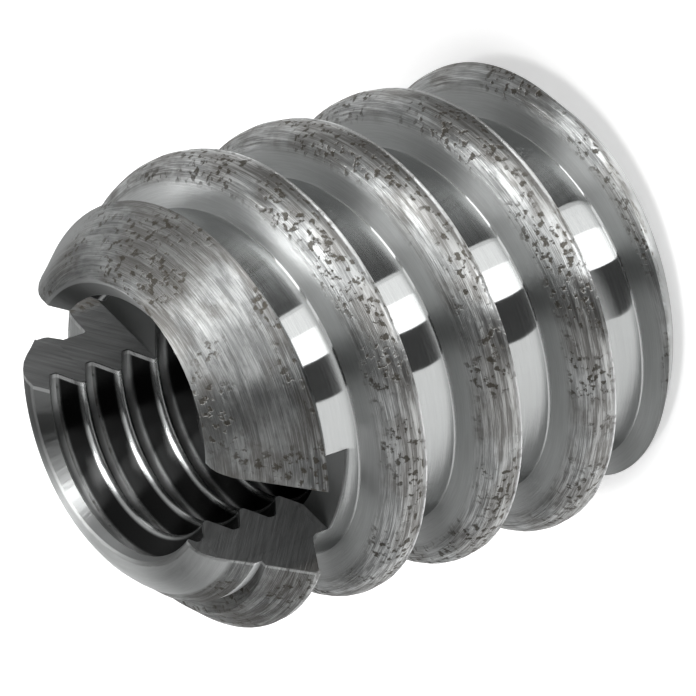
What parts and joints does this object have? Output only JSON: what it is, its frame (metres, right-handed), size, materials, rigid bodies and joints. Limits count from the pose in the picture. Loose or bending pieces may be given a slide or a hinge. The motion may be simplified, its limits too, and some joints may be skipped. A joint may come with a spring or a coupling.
{
  "type": "threaded insert",
  "caption": "Slotted screw-in insert of bright steel: coarse wood thread outside, tapped through bore inside, driver slot across one end.",
  "frame": {"origin": "on the axis, in the plane of the plain end face the insert stands on", "axes": "+Z along the axis from the plain end towards the slotted end, +X along the driver slot"},
  "size_m": [0.016, 0.016, 0.0183],
  "materials": {
    "steel": "bright turned steel, rough on the crests of the outer thread"
  },
  "bodies": {
    "root": {"threaded_insert": "steel"}
  },
  "joints": []
}
